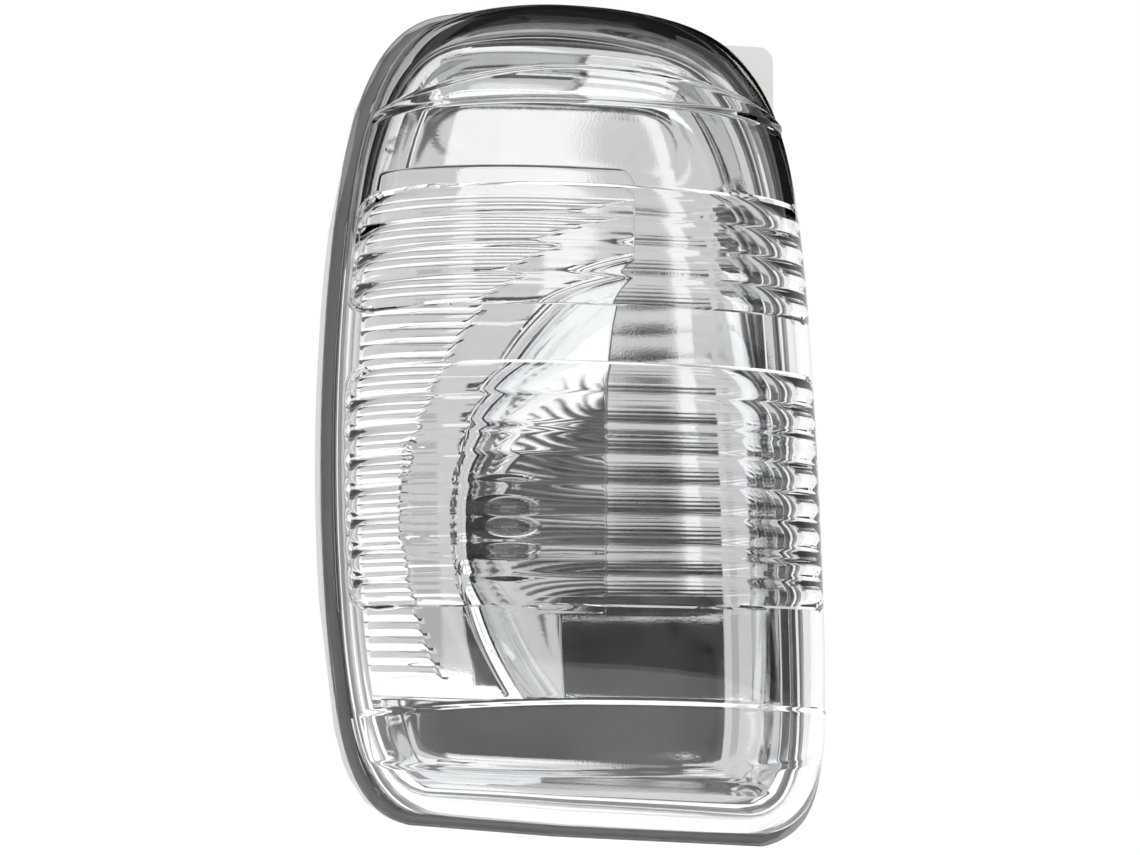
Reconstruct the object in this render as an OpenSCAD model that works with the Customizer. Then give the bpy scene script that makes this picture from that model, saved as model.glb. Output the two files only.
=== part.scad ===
// Mirror turn signal lamp: clear fluted lens, metallised reflector, moulded back shell,
// wedge-base bulb in a twist-in holder.
// Millimetres. +Z is up, +X is the lamp's right seen from the front, the lens faces -Y.
// The origin is midway between the two fixing inserts, on the plane where they meet the mirror.

/* [Outline] */
// Height of the lens without its flange
lens_h = 136; // [126:1:146]
// Reach of the lens to the left of the fixing line
left_w = 37.2; // [36:0.2:40]
// Reach of the lens to the right of the fixing line
right_w = 45.2; // [42:0.2:47]
// How far the left edge bows in towards its ends
left_bow = 6.3; // [4:0.1:8]
// How far the right edge leans in at the top
right_lean = 6.9; // [5:0.1:9]
// How far the top edge arches
top_arch = 1.9; // [1:0.1:3]
// How far the bottom edge drops towards the right
bottom_lean = 2.1; // [0:0.1:3]

/* [Lens] */
// How far the lens swells in front of its flange
lens_bulge = 28; // [26:0.5:34]
// Thickness of the lens
lens_wall = 2.2; // [1.8:0.1:2.6]
// Thickness of the lens flange
flange_t = 2; // [1.6:0.1:2.6]
// Reach of the lens flange past the lens
flange_w = 2; // [1.6:0.1:2.6]
// Depth of the lens tongue in its channel
tongue_d = 3; // [2.4:0.1:3.6]
// Spacing of the inner flutes
flute_pitch = 4.8; // [4.4:0.1:5]
// Depth that each flute is cut into its block
flute_sag = 0.55; // [0.3:0.05:0.8]
// Height of the raised blocks that carry the flutes
block_rise = 0.3; // [0.2:0.05:0.4]
// Height of the nested block on the lower fluted block
nest_rise = 0.35; // [0.2:0.05:0.4]
// Flutes in the upper block
upper_flutes = 4; // [2:1:5]
// Flutes in the lower block
lower_flutes = 8; // [4:1:9]
// Height of the upper block's lower edge
upper_z = 15; // [12:0.2:18]
// Height of the lower block's upper edge
lower_z = 5.6; // [4:0.2:9]
// Height of the raised crescent bands
crescent_rise = 0.5; // [0.2:0.1:0.8]

/* [Reflector] */
// Thickness of the reflector
mirror_wall = 2; // [1.6:0.1:2.4]
// Width of the reflector's edge ledge
ledge_w = 2.4; // [2:0.1:3]
// Depth of the pan behind the raised block
pan_depth = 9; // [6:0.5:11]
// Height of the raised block's upper edge
block_top = 40; // [36:0.5:42]
// Height of the raised block's lower edge
block_bottom = -48; // [-51:0.5:-46]
// Place of the raised block's right edge
block_right = 11; // [9:0.5:13]
// Share of the lens bulge that the raised block fills
block_share = 0.5; // [0.4:0.02:0.56]
// Radius of the leaf-shaped bowl's edge
bowl_r = 48; // [46:0.5:50]
// Depth of the bowl
bowl_depth = 21; // [18:0.5:23]
// Width of the rolled band along the bowl's edge
band_w = 2.4; // [1.6:0.2:3.2]
// Width of the plain strip between the band and the ribs
strip_w = 6.9; // [5:0.1:8]
// Spacing of the fine ribs
rib_pitch = 2.4; // [2:0.1:3]
// Height of the fine ribs
rib_h = 0.6; // [0.3:0.05:0.8]

/* [Bulb] */
// Place of the bulb to the right of the fixing line
bulb_x = -8; // [-10:0.5:-6]
// Height of the bulb
bulb_z = -18.5; // [-20:0.5:-16]
// Radius of the glass envelope
bulb_r = 5; // [4.6:0.1:5.2]
// Length of the round envelope in front of the pinch
bulb_len = 18; // [16:0.5:20]
// Width of the glass wedge
wedge_w = 9.4; // [8.8:0.1:9.8]
// Thickness of the glass wedge
wedge_t = 2.4; // [2:0.1:2.8]
// Length of the glass wedge
wedge_len = 8.8; // [8:0.2:9.6]
// Radius of the lead wires
wire_r = 0.25; // [0.2:0.05:0.3]

/* [Housing] */
// Depth of the housing behind the lens flange
housing_d = 24; // [23:0.5:28]
// Thickness of the housing walls
shell_wall = 2; // [1.6:0.1:2.4]
// Reach of the housing's slope from its rim to its flat back
back_inset = 11; // [9:0.5:12]
// Width of the locating tab
tab_w = 13; // [10:0.5:15]
// Height of the locating tab
tab_h = 18; // [14:0.5:20]
// Thickness of the locating tab
tab_t = 2.8; // [2.2:0.1:3.4]
// How far the locating tab stays below the top of the lens flange
tab_drop = 2.7; // [1:0.1:6]

/* [Fixings] */
// Distance between the two fixing inserts
insert_spacing = 90; // [84:1:94]
// Radius of the threaded hole in an insert
insert_bore_r = 2; // [1.6:0.1:2.5]
// Outer radius of an insert
insert_r = 3.2; // [3:0.1:3.6]
// Length of an insert
insert_len = 7; // [6:0.5:8]
// Standing height of the bosses that hold the inserts
boss_h = 8; // [8:0.5:10]
// Radius of a reflector screw
screw_r = 1.25; // [1:0.05:1.5]

/* [Holder] */
// Radius of the holder's neck in its port
neck_r = 8; // [7.6:0.1:8.6]
// Reach of the holder's locking lugs past the neck
lock_reach = 1.8; // [1.4:0.1:2.2]
// Radius of the holder's flange
holder_flange_r = 12; // [11.5:0.25:13]
// Width of the plug shroud
shroud_w = 17; // [16:0.5:19]
// Height of the plug shroud
shroud_h = 11; // [10:0.5:12]
// Length of the plug shroud
shroud_len = 13; // [11:0.5:15]
// Width of a contact strip
strip_contact_w = 2.8; // [2.2:0.1:3]
// Thickness of a contact strip
contact_t = 0.6; // [0.5:0.1:0.8]

/* [Vent] */
// Radius of the breather neck
vent_r = 3.6; // [3:0.1:4.2]
// Height of the breather neck
vent_h = 4; // [3:0.5:5]

/* [Hidden] */

gap = 0.1;              // clearance between pieces that touch
fit_gap = 0.4;          // clearance of the lens tongue in its channel
half_h = lens_h / 2;
seat_y = housing_d + boss_h;   // mirror's plane, measured from the lens flange's back

// Roundness of the outline and of the lens section
top_left_n = 5.8;
top_right_n = 4.5;
bottom_left_n = 8.5;
bottom_right_n = 10;
left_n = 2.2;
right_n = 2.8;
cap_n = 4;
edge_reach = 0.99;      // share of the outline's height that the last row takes
bow_z = 0.07;           // where the left bow is widest, as a share of half the height
lean_z = 0.95;          // where the right lean starts

// Outline of the lens: its left and right edges for a row at t, from -1 at the bottom to 1
function corner(t, n) = pow(1 - pow(abs(t) * edge_reach, n), 1 / n);
function left_x(t) =
    -(left_w - left_bow * pow(t + bow_z, 2)) * corner(t, t > 0 ? top_left_n : bottom_left_n);
function right_x(t) =
    (right_w - right_lean * pow(max(t + lean_z, 0) / (1 + lean_z), 2))
    * corner(t, t > 0 ? top_right_n : bottom_right_n);

// Swell of the lens, from 0 at the flange to 1 in the middle
function side_n(s) = s < 0 ? left_n : right_n;
function swell(s, t) =
    pow(max(1 - pow(abs(s), side_n(s)), 0), 1 / side_n(s))
    * pow(max(1 - pow(abs(t), cap_n), 0), 1 / cap_n);

function row_z(s, t) =
    t * half_h - top_arch * pow(max(t, 0), 2) * s * s - bottom_lean * pow(min(t, 0), 2) * s;

// A point of the lens skin, set in by a thickness, with s from -1 at the left edge to 1
function skin(s, t, inset) = [
    s < 0 ? -s * (left_x(t) + inset) : s * (right_x(t) - inset),
    -flange_t - (lens_bulge - inset) * swell(s, t),
    row_z(s, t) * (1 - inset / half_h)];

// Rows and columns of the lens
function arc_share(a, n) = pow(sin(a), 2 / n);
cap_step = 12;
cap_rows = [for (a = [54:cap_step:90]) arc_share(a, cap_n)];
flute_cuts = 4;
upper_top = upper_z + upper_flutes * flute_pitch;
lower_bottom = lower_z - lower_flutes * flute_pitch;
crescent_top = 0.79;
crescent_bottom = 0.705;
foot_band_top = -0.703;
foot_band_bottom = -0.866;
upper_block_rows = [for (i = [0:upper_flutes * flute_cuts])
                    (upper_z + i * flute_pitch / flute_cuts) / half_h];
lower_block_rows = [for (i = [0:lower_flutes * flute_cuts])
                    (lower_bottom + i * flute_pitch / flute_cuts) / half_h];
edge_row = 0.006;
bottom_rows = [for (i = [len(cap_rows) - 1:-1:0]) -cap_rows[i]];
lens_rows = concat(
    bottom_rows,
    [foot_band_bottom - edge_row, foot_band_bottom + edge_row, (foot_band_bottom + foot_band_top) / 2,
     foot_band_top - edge_row, foot_band_top + edge_row, (foot_band_top + lower_bottom / half_h) / 2,
     lower_bottom / half_h - edge_row],
    lower_block_rows,
    [lower_z / half_h + edge_row, upper_z / half_h - edge_row],
    upper_block_rows,
    [upper_top / half_h + edge_row, crescent_bottom - edge_row,
     crescent_bottom + edge_row, crescent_top - edge_row, crescent_top + edge_row],
    cap_rows);
col_step = 11.25;
nest_left = -0.8;
nest_edge = 0.008;
lens_cols = concat(
    [for (a = [90:-col_step:5 * col_step]) -arc_share(a, left_n)],
    [nest_left - nest_edge, nest_left + nest_edge],
    [for (a = [4 * col_step:-col_step:col_step]) -arc_share(a, left_n)],
    [for (a = [0:col_step:90]) arc_share(a, right_n)]);

// Raised blocks on the inside with concave flutes, and the raised bands on the outside
flute_left = -0.985;
flute_right = 0.99;
nest_bottom = lower_bottom + 1.6 * flute_pitch;
nest_top = lower_z - 2.3 * flute_pitch;
function flute(z) = let (f = z / flute_pitch - floor(z / flute_pitch)) pow(2 * f - 1, 2);
function in_span(z, low, high) = z > low - gap / 2 && z < high + gap / 2;
function block_cut(z) =
    in_span(z, lower_bottom, lower_z) ? block_rise + flute_sag * flute(z - lower_bottom)
    : in_span(z, upper_z, upper_top) ? block_rise + flute_sag * flute(z - upper_z) : 0;
function flute_rise(s, t) = let (z = t * half_h)
    (s > flute_left && s < flute_right ? block_cut(z) : 0)
    + (s > nest_left && s < flute_right && z > nest_bottom && z < nest_top ? nest_rise : 0);
function in_crescent(s, t) =
    (t > crescent_bottom && t < crescent_top) || (t > foot_band_bottom && t < foot_band_top);
function crescent(s, t) = in_crescent(s, t) && s > flute_left && s < flute_right ? crescent_rise : 0;

// Direction out of the lens section at s, without its vertical part
function section_out(s, t) =
    let (wide = s < 0 ? -left_x(t) : right_x(t), n = side_n(s), g = swell(s, 0),
         out = [sign(s) * pow(abs(s), n - 1) / wide, -pow(g, n - 1) / lens_bulge])
    out / norm(out);
function moved_out(p, s, t, d) = let (o = section_out(s, t)) [p[0] + d * o[0], p[1] + d * o[1], p[2]];

lens_front = [for (t = lens_rows) for (s = lens_cols)
              moved_out(skin(s, t, 0), s, t, crescent(s, t))];
lens_back = [for (t = lens_rows) for (s = lens_cols)
             moved_out(skin(s, t, lens_wall), s, t, -flute_rise(s, t))];

// Closed loop of the outline's rows and columns, clockwise seen from the front
function loop_keys(rows, cols) = concat(
    [for (t = rows) [cols[0], t]],
    [for (i = [1:len(cols) - 1]) [cols[i], rows[len(rows) - 1]]],
    [for (i = [len(rows) - 2:-1:0]) [cols[len(cols) - 1], rows[i]]],
    [for (i = [len(cols) - 2:-1:1]) [cols[i], rows[0]]]);
function rim(keys, inset) = [for (k = keys) skin(k[0], k[1], inset)];
function spread(loop, out, y) = let (n = len(loop)) [for (i = [0:n - 1])
    let (a = loop[(i + n - 1) % n], b = loop[(i + 1) % n], d = [b[0] - a[0], b[2] - a[2]], u = d / norm(d))
    [loop[i][0] - u[1] * out, y, loop[i][2] + u[0] * out]];
// The ring at a distance outside the outline, or inside it where the distance is negative
function ring(keys, out, y) = spread(rim(keys, max(-out, 0)), max(out, 0), y);

// Faces of a grid of rows and columns that starts at a point number
function grid_faces(rows, cols, start, flip) = [
    for (r = [0:rows - 2]) for (c = [0:cols - 2])
        let (a = start + r * cols + c, b = a + cols)
        for (f = flip ? [[a, a + 1, b + 1], [a, b + 1, b]] : [[a, b + 1, a + 1], [a, b, b + 1]]) f];
// Point numbers around a grid, in the order of loop_keys
function grid_loop(rows, cols, start) = concat(
    [for (r = [0:rows - 1]) start + r * cols],
    [for (c = [1:cols - 1]) start + (rows - 1) * cols + c],
    [for (r = [rows - 2:-1:0]) start + r * cols + cols - 1],
    [for (c = [cols - 2:-1:1]) start + c]);
// Faces between two loops of point numbers
function strip_faces(a, b) = let (n = len(a)) [
    for (i = [0:n - 1]) let (j = (i + 1) % n)
        for (f = [[a[i], b[i], b[j]], [a[i], b[j], a[j]]]) f];
// Faces between a fine loop and a coarse one, where keys gives each fine point's coarse partner
function zip_faces(a, b, keys) = let (n = len(a), m = len(b)) [
    for (i = [0:n - 1]) let (j = (i + 1) % n, p = keys[i] % m, q = keys[j] % m)
        for (f = p == q ? [[a[i], b[p], a[j]]] : [[a[i], b[p], a[j]], [a[j], b[p], b[q]]]) f];
// Partners of the points around a grid, in a grid with fewer rows or columns, where near_row
// and near_col give the partner of each row and column
function partners(near_row, near_col, few_rows, few_cols) =
    let (rows = len(near_row), cols = len(near_col), up = few_rows - 1, over = few_cols - 1)
    concat(near_row,
        [for (c = [1:cols - 1]) up + near_col[c]],
        [for (r = [rows - 2:-1:0]) 2 * up + over - near_row[r]],
        [for (c = [cols - 2:-1:1]) 2 * up + 2 * over - near_col[c]]);
function nearest(v, few) = let (far = [for (f = few) abs(f - v)]) search(min(far), far)[0];
function all_nearest(many, few) = [for (v = many) nearest(v, few)];
function numbers(start, count) = [for (i = [0:count - 1]) start + i];

// A shell with a grid in front, a like grid behind and coarser rings around its edge
module grid_shell(front, back, rows, cols, rings, keys) {
    count = rows * cols;
    size = len(rings[0]);
    last = len(rings) - 1;
    loops = [for (i = [0:last]) numbers(2 * count + i * size, size)];
    polyhedron(
        points = concat(front, back, [for (r = rings) for (p = r) p]),
        faces = concat(
            grid_faces(rows, cols, 0, false),
            grid_faces(rows, cols, count, true),
            zip_faces(grid_loop(rows, cols, 0), loops[0], keys),
            [for (i = [0:last - 1]) for (f = strip_faces(loops[i], loops[i + 1])) f],
            [for (f = zip_faces(grid_loop(rows, cols, count), loops[last], keys)) [f[2], f[1], f[0]]]));
}

// A stack of rings closed by a flat front and back, or joined end to end
module ring_stack(rings, joined) {
    size = len(rings[0]);
    last = len(rings) - 1;
    loops = [for (i = [0:last]) numbers(i * size, size)];
    sides = [for (i = [0:last - 1]) for (f = strip_faces(loops[i], loops[i + 1])) f];
    ends = joined ? strip_faces(loops[last], loops[0])
        : [loops[0], [for (i = [size - 1:-1:0]) loops[last][i]]];
    polyhedron(points = [for (r = rings) for (p = r) p], faces = concat(sides, ends));
}

// The lamp is drawn from the lens flange's back, then set on the mirror's plane
module from_rim() { translate([0, -seat_y, 0]) children(); }

// A round post along Y
module post(x, z, y0, y1, r) {
    translate([x, y1, z]) rotate([90, 0, 0]) cylinder(r = r, h = y1 - y0, $fn = 48);
}

// A block from one corner to the other
module block(low, high) { translate(low) cube(high - low); }

// Lens: a smooth outside with two raised bands, fluted blocks inside, flange and tongue
rim_rows = [for (i = [0:len(lens_rows) - 1])
            if (abs(lens_rows[i]) > crescent_top + 2 * edge_row || i % 6 == 0) lens_rows[i]];
rim_cols = [for (i = [0:2:len(lens_cols) - 1]) lens_cols[i]];
rim_keys = loop_keys(rim_rows, rim_cols);
module lens() {
    color([0.93, 0.95, 0.96, 0.35]) from_rim()
        grid_shell(lens_front, lens_back, len(lens_rows), len(lens_cols), [
            ring(rim_keys, flange_w, -flange_t),
            ring(rim_keys, flange_w, 0),
            ring(rim_keys, 0, 0),
            ring(rim_keys, 0, tongue_d),
            ring(rim_keys, -lens_wall, tongue_d)],
            partners(all_nearest(lens_rows, rim_rows), all_nearest(lens_cols, rim_cols),
                     len(rim_rows), len(rim_cols)));
}

// Housing
channel_d = tongue_d + 1.2;
film_t = 0.3;           // sealing film between the lens flange and the housing's rim
film_in = 0.7;          // how far the film stays inside the flange's edge
rim_y = film_t + 2 * gap;
inner_wall_out = lens_wall + fit_gap;
cavity_inset = inner_wall_out + shell_wall;
skirt_d = 7;
shoulder_d = 9;
back_edge = 3;
module shell_body() {
    ring_stack([
        ring(rim_keys, -back_inset - shell_wall / 2, housing_d - shell_wall),
        ring(rim_keys, -cavity_inset, shoulder_d),
        ring(rim_keys, -cavity_inset, gap),
        ring(rim_keys, -inner_wall_out, gap),
        ring(rim_keys, -inner_wall_out, channel_d),
        ring(rim_keys, fit_gap, channel_d),
        ring(rim_keys, fit_gap, rim_y),
        ring(rim_keys, flange_w, rim_y),
        ring(rim_keys, flange_w, skirt_d),
        ring(rim_keys, -cavity_inset + shell_wall, shoulder_d),
        ring(rim_keys, -back_inset + shell_wall / 2, housing_d - back_edge),
        ring(rim_keys, -back_inset, housing_d)], false);
}

// Port for the holder: a hole with three notches for its locking lugs
port_r = neck_r + 0.25;
lock_count = 3;
lock_turn = 45;
lock_half_w = 2;
lock_t = 1.6;
module port() {
    post(bulb_x, bulb_z, housing_d - shell_wall - 1, housing_d + 1, port_r);
    for (i = [0:lock_count - 1])
        translate([bulb_x, 0, bulb_z]) rotate([0, i * 360 / lock_count, 0])
            block([0, housing_d - shell_wall - 1, -lock_half_w - fit_gap],
                  [neck_r + lock_reach + fit_gap, housing_d + 1, lock_half_w + fit_gap]);
}

boss_r = insert_r + 1.8;
insert_zs = [-insert_spacing / 2, insert_spacing / 2];
screw_places = [[20, 31], [20, -41], [-14, 49]];
screw_hole_r = screw_r + 0.3;
vent_x = -16;
vent_z = 20;
clip_x = 22;
clip_z = 8;
clip_tongue_w = 8;
clip_tongue_t = 2.4;
clip_tongue_h = 11;
rib_t = 1.6;
rib_stand = 2;
tab_right = 41;
tab_top = half_h + flange_w - tab_drop;
tab_y = channel_d + fit_gap;
tab_corner = 2.5;

module tab() {
    x0 = tab_right - tab_w;
    z0 = tab_top - tab_h;
    translate([0, tab_y + tab_t, 0]) rotate([90, 0, 0]) linear_extrude(tab_t) union() {
        translate([x0, z0]) square([tab_w, tab_h - tab_corner]);
        translate([x0 + tab_corner, z0]) square([tab_w - 2 * tab_corner, tab_h]);
        for (x = [x0 + tab_corner, tab_right - tab_corner])
            translate([x, tab_top - tab_corner]) circle(r = tab_corner, $fn = 32);
    }
}

// The room inside the housing's solid edge, which the tab's root stays out of
module shell_room() {
    ring_stack([
        ring(rim_keys, -inner_wall_out, 0),
        ring(rim_keys, -inner_wall_out, housing_d)], false);
}

module back_ribs() {
    y0 = housing_d - 0.5;
    y1 = housing_d + rib_stand;
    block([-rib_t / 2, y0, insert_zs[0] + boss_r / 2], [rib_t / 2, y1, bulb_z - holder_flange_r - 1]);
    block([-rib_t / 2, y0, bulb_z + holder_flange_r + 1], [rib_t / 2, y1, insert_zs[1] - boss_r / 2]);
}

module housing() {
    color([0.8, 0.81, 0.8]) from_rim() difference() {
        union() {
            shell_body();
            difference() {
                tab();
                shell_room();
            }
            back_ribs();
            for (z = insert_zs) post(0, z, housing_d - 1, seat_y, boss_r);
            post(vent_x, vent_z, housing_d - 1, housing_d + vent_h, vent_r);
            block([clip_x - clip_tongue_w / 2, housing_d - 1, clip_z - clip_tongue_t / 2],
                  [clip_x + clip_tongue_w / 2, housing_d + clip_tongue_h, clip_z + clip_tongue_t / 2]);
        }
        port();
        for (z = insert_zs) post(0, z, seat_y - insert_len - 1, seat_y + 1, insert_r + gap / 2);
        for (p = screw_places)
            post(p[0], p[1], housing_d - shell_wall - 1, housing_d + 1, screw_hole_r);
        post(vent_x, vent_z, housing_d - shell_wall - 1, housing_d + vent_h + 1, vent_r / 3);
    }
}

// Sealing bead at the foot of the channel, up along the lens tongue and out under the flange
module lens_seal() {
    low_y = tongue_d + gap;
    high_y = channel_d - gap;
    color([0.3, 0.3, 0.31]) from_rim() ring_stack([
        ring(rim_keys, -lens_wall, low_y),
        ring(rim_keys, gap, low_y),
        ring(rim_keys, gap, gap),
        ring(rim_keys, flange_w - film_in, gap),
        ring(rim_keys, flange_w - film_in, gap + film_t),
        ring(rim_keys, fit_gap - gap, gap + film_t),
        ring(rim_keys, fit_gap - gap, high_y),
        ring(rim_keys, -lens_wall, high_y)], true);
}

// Reflector: a pan with a raised ribbed block, and the bowl sunk into the block
mirror_inset = lens_wall + 0.6;
ledge_t = 1.8;
bulb_in = 9;            // how far inside the bowl's edge the bulb stands
bowl_x = bulb_x + bowl_r - bulb_in;
bowl_z = bulb_z - 0.5;
notch_z = -33;          // below this height the block's right edge steps in
notch_w = 8;
function block_edge(z) = block_right - (z < notch_z ? notch_w : 0);
band_r = bowl_r + band_w;
rib_r = band_r + strip_w;
bowl_reach = bowl_r - (bowl_x - block_right);
rib_top = block_top - 5;
rib_bottom = block_bottom + 3;
mirror_end = half_h - mirror_inset;
edge_w = 1;             // flat edge left of the block, in front of the wider ledge behind it
pan_side_n = 8;
pan_cap_n = 16;
step_w = 0.4;

function share_x(x, z) = let (t = max(min(z / half_h, 1), -1))
    x < 0 ? -x / (left_x(t) + mirror_inset) : x / (right_x(t) - mirror_inset);
function share_z(z) = z / (half_h - mirror_inset);
function bowl_shape(u) = pow(1 - pow(1 - min(max(u, 0), 1), 3), 0.62);
function rib_wave(z) = let (f = z / rib_pitch - floor(z / rib_pitch)) sqrt(max(1 - pow(2 * f - 1, 2), 0));
function pan_y(x, z) =
    let (s = x / (x < 0 ? left_end(z) + ledge_w : right_end(z) - ledge_w), t = z / (mirror_end - ledge_w))
    -ledge_t + pan_depth * max(1 - pow(abs(s), pan_side_n), 0) * max(1 - pow(abs(t), pan_cap_n), 0);
function block_y(x, z) = -ledge_t
    - block_share * lens_bulge * swell(max(min(share_x(x, z), 1), -1), max(min(share_z(z), 1), -1));
function on_block_y(x, z) = let (r = norm([x - bowl_x, z - bowl_z]), y = block_y(x, z))
    r < bowl_r ? min(y + bowl_depth * bowl_shape((bowl_r - r) / bowl_reach), pan_y(x, z) + 0.5)
    : r < band_r ? y + 0.7
    : r > rib_r && z > rib_bottom && z < rib_top ? y - rib_h * rib_wave(z - rib_bottom) : y;
function left_end(z) = left_x(max(min(z / mirror_end, 1), -1)) + mirror_inset;
function right_end(z) = right_x(max(min(z / mirror_end, 1), -1)) - mirror_inset;
function on_ledge(x, z) =
    abs(z) > mirror_end - ledge_w || x < left_end(z) + ledge_w || x > right_end(z) - ledge_w;
function mirror_y(x, z) =
    x > left_end(z) + edge_w && x < block_edge(z) && z > block_bottom && z < block_top
    ? on_block_y(x, z) : on_ledge(x, z) ? -ledge_t : pan_y(x, z);
// The back is the front moved back by the wall, so that steep stretches keep their thickness
wall_steps = [[0, 0, 1], [1, 0, 0.3], [-1, 0, 0.3], [0, 1, 0.3], [0, -1, 0.3],
              [0.5, 0, 0.85], [-0.5, 0, 0.85], [0, 0.5, 0.85], [0, -0.5, 0.85]];
function mirror_back_y(x, z) = on_ledge(x, z) ? 0 : max([for (w = wall_steps)
    mirror_y(x + w[0] * mirror_wall, z + w[1] * mirror_wall) + w[2] * mirror_wall]);

rib_cuts = 2;
rib_rows = [for (z = [rib_bottom:rib_pitch / rib_cuts:rib_top]) z];
mirror_cap = concat([for (a = [0.84, 0.9, 0.94]) a * mirror_end],
                    [mirror_end - ledge_w - step_w, mirror_end - ledge_w + gap, mirror_end]);
mirror_rows = concat(
    [for (i = [len(mirror_cap) - 1:-1:0]) -mirror_cap[i]],
    [block_bottom - step_w, block_bottom + step_w],
    rib_rows,
    [(rib_top + block_top) / 2, block_top - step_w, block_top + step_w, 0.7 * mirror_end],
    mirror_cap);
function arc_x(r, z) = abs(z - bowl_z) < r ? bowl_x - sqrt(r * r - pow(z - bowl_z, 2)) : block_edge(z);
function mirror_xs(z) =
    let (x0 = left_end(z), x9 = right_end(z), a = x0 + ledge_w + step_w,
         e = min(block_edge(z), x9 - ledge_w - 2 * step_w) - step_w,
         r1 = min(max(arc_x(rib_r, z), a + 3), e - 2.4),
         r2 = min(max(arc_x(band_r, z), r1 + 0.8), e - 1.4),
         r3 = min(max(arc_x(bowl_r, z), r2 + 0.4), e - 0.8),
         b = e + 2 * step_w, c = x9 - ledge_w - step_w / 2)
    concat([x0, x0 + edge_w - gap, x0 + edge_w + gap, x0 + ledge_w - gap],
           [for (u = [0, 0.2, 0.55]) a + (r1 - a) * u],
           [r1 - 0.1, r1 + 0.4, r2 - 0.1, r2 + 0.2, r3 - 0.05],
           [for (u = [0.06, 0.2, 0.45, 0.72, 1]) r3 + (e - r3) * u],
           [for (u = [0, 0.36, 0.64, 0.82, 0.93, 1]) b + (c - b) * u],
           [x9 - ledge_w + gap, x9]);

mirror_cols = len(mirror_xs(0));
function mirror_point(x, z, back) =
    let (t = z / mirror_end)
    [x, back ? mirror_back_y(x, z) : mirror_y(x, z), row_z(share_x(x, z), t) * mirror_end / half_h];
back_step = 6;
back_rows = concat(
    [-mirror_end, -mirror_end + ledge_w - gap, -mirror_end + ledge_w + step_w, -0.9 * mirror_end,
     -0.84 * mirror_end, block_bottom - step_w,
     block_bottom + step_w + 0.8 * mirror_wall, block_bottom + step_w + 1.8 * mirror_wall],
    [for (z = [rib_bottom + back_step / 2:back_step:rib_top - back_step / 2]) z],
    [block_top - step_w - 1.8 * mirror_wall, block_top - step_w - 0.8 * mirror_wall, block_top + step_w,
     0.7 * mirror_end, 0.84 * mirror_end, 0.9 * mirror_end, mirror_end - ledge_w - step_w,
     mirror_end - ledge_w + gap, mirror_end]);
function mirror_grid(rows, back) = [for (z = rows) let (xs = mirror_xs(z))
    for (x = xs) mirror_point(x, z, back)];

module reflector_body() {
    rows = len(mirror_rows);
    few = len(back_rows);
    count = rows * mirror_cols;
    polyhedron(
        points = concat(mirror_grid(mirror_rows, false), mirror_grid(back_rows, true)),
        faces = concat(
            grid_faces(rows, mirror_cols, 0, false),
            grid_faces(few, mirror_cols, count, true),
            zip_faces(grid_loop(rows, mirror_cols, 0), grid_loop(few, mirror_cols, count),
                      partners(all_nearest(mirror_rows, back_rows), [for (c = [0:mirror_cols - 1]) c],
                               few, mirror_cols))));
}

mirror_boss_r = screw_r + 2;
pilot_r = screw_r + gap / 2;
pilot_len = 9;
bulb_hole_r = bulb_r + 1.2;
module reflector() {
    boss_end = housing_d - shell_wall - gap;
    color([0.86, 0.87, 0.88]) from_rim() difference() {
        union() {
            reflector_body();
            for (p = screw_places)
                post(p[0], p[1], mirror_y(p[0], p[1]) + mirror_wall * 0.6, boss_end, mirror_boss_r);
        }
        post(bulb_x, bulb_z, -lens_bulge, housing_d - shell_wall, bulb_hole_r);
        for (p = screw_places) post(p[0], p[1], boss_end - pilot_len, boss_end + 1, pilot_r);
    }
}

// Screws that hold the reflector from the back, each on its washer
screw_head_r = screw_r * 2.2;
screw_head_h = screw_r * 1.45;
screw_slot_w = screw_r * 0.55;
tip_room = 3;           // free length of the pilot hole past the screw's tip
washer_t = 0.6;
washer_r = screw_head_r + 0.6;
head_y = housing_d + washer_t + 2 * gap;
screw_tip_y = housing_d - shell_wall - pilot_len + tip_room;
module reflector_screws() {
    color([0.6, 0.61, 0.63]) from_rim() for (p = screw_places) difference() {
        union() {
            post(p[0], p[1], screw_tip_y, head_y + screw_head_h / 2, screw_r);
            post(p[0], p[1], head_y, head_y + screw_head_h, screw_head_r);
        }
        for (turn = [0, 90])
            translate([p[0], head_y + screw_head_h, p[1]]) rotate([0, turn, 0])
                block([-screw_head_r * 0.6, -screw_head_h / 2, -screw_slot_w / 2],
                      [screw_head_r * 0.6, 1, screw_slot_w / 2]);
    }
}
module screw_washers() {
    color([0.66, 0.67, 0.68]) from_rim() for (p = screw_places) difference() {
        post(p[0], p[1], housing_d + gap, housing_d + gap + washer_t, washer_r);
        post(p[0], p[1], housing_d, housing_d + gap + washer_t + 1, screw_r + gap);
    }
}

// Threaded brass inserts in the two bosses, each with a groove between two bands
groove_d = insert_r * 0.1;
groove_w = insert_len * 0.12;
module fixing_inserts() {
    band_len = (insert_len - 3 * groove_w) / 2;
    color([0.78, 0.62, 0.3]) from_rim() for (z = insert_zs) difference() {
        union() {
            post(0, z, seat_y - insert_len, seat_y, insert_r - groove_d);
            for (i = [0, 1])
                let (y = seat_y - insert_len + groove_w + i * (band_len + groove_w))
                    post(0, z, y, y + band_len, insert_r);
        }
        post(0, z, seat_y - insert_len - 1, seat_y + 1, insert_bore_r);
    }
}

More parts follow.
